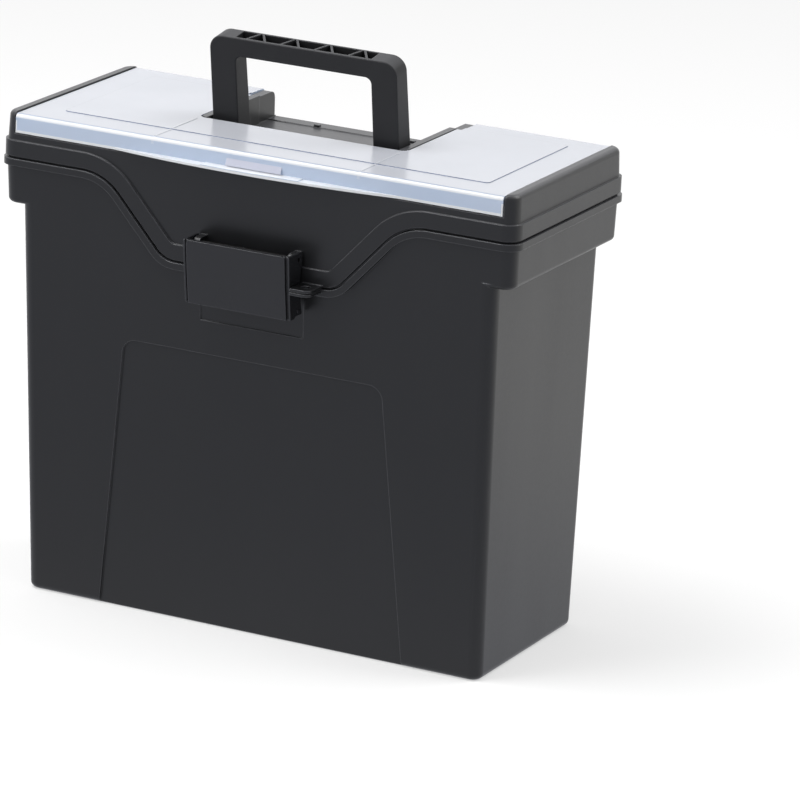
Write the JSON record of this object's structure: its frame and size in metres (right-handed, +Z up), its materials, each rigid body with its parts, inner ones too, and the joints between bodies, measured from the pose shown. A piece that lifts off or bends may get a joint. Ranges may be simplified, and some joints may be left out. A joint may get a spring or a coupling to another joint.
{
  "type": "portable file box",
  "caption": "Tapered file box with a hinged lid that holds a clear-covered organiser tray, a folding carry handle and a front latch with padlock ears.",
  "frame": {"origin": "on the flat base, under the centre of the rim", "axes": "+Z up, +X to the right seen from the front, -Y towards the front, where the latch is"},
  "size_m": [0.34, 0.1686, 0.3514],
  "materials": {
    "dark_shell": "fine satin polypropylene",
    "dark_handle": "satin polypropylene",
    "dark_latch": "satin polypropylene",
    "frosted_clear": "frosted clear polypropylene, smoother at the lip",
    "steel_pin": "drawn wire"
  },
  "bodies": {
    "tub": {"tub": "dark_shell", "lid_hinge_pin_left": "steel_pin", "lid_hinge_pin_right": "steel_pin"},
    "lid": {"lid": "dark_shell", "handle_pin_left": "steel_pin", "handle_pin_right": "steel_pin"},
    "cover": {"organiser_cover": "frosted_clear"},
    "handle": {"carry_handle": "dark_handle"},
    "latch": {"latch": "dark_latch", "latch_pin": "steel_pin"}
  },
  "joints": [
    {"name": "lid_hinge", "type": "hinge", "parent": "tub", "child": "lid", "pos_m": [0, 0.0723, 0.2685], "axis": [-1, 0, 0], "range_deg": [0, 105]},
    {"name": "latch_hinge", "type": "hinge", "parent": "lid", "child": "latch", "pos_m": [0, -0.0795, 0.241], "axis": [-1, 0, 0], "range_deg": [0, 80]},
    {"name": "cover_hinge", "type": "hinge", "parent": "lid", "child": "cover", "pos_m": [0, 0.0696, 0.294], "axis": [-1, 0, 0], "range_deg": [0, 110]},
    {"name": "handle_fold", "type": "hinge", "parent": "lid", "child": "handle", "pos_m": [0, -0.0032, 0.289], "axis": [-1, 0, 0], "range_deg": [0, 97]}
  ],
  "couplings": [
    {"joint": "handle_fold", "follows": "cover_hinge", "ratio": 0.8818}
  ]
}
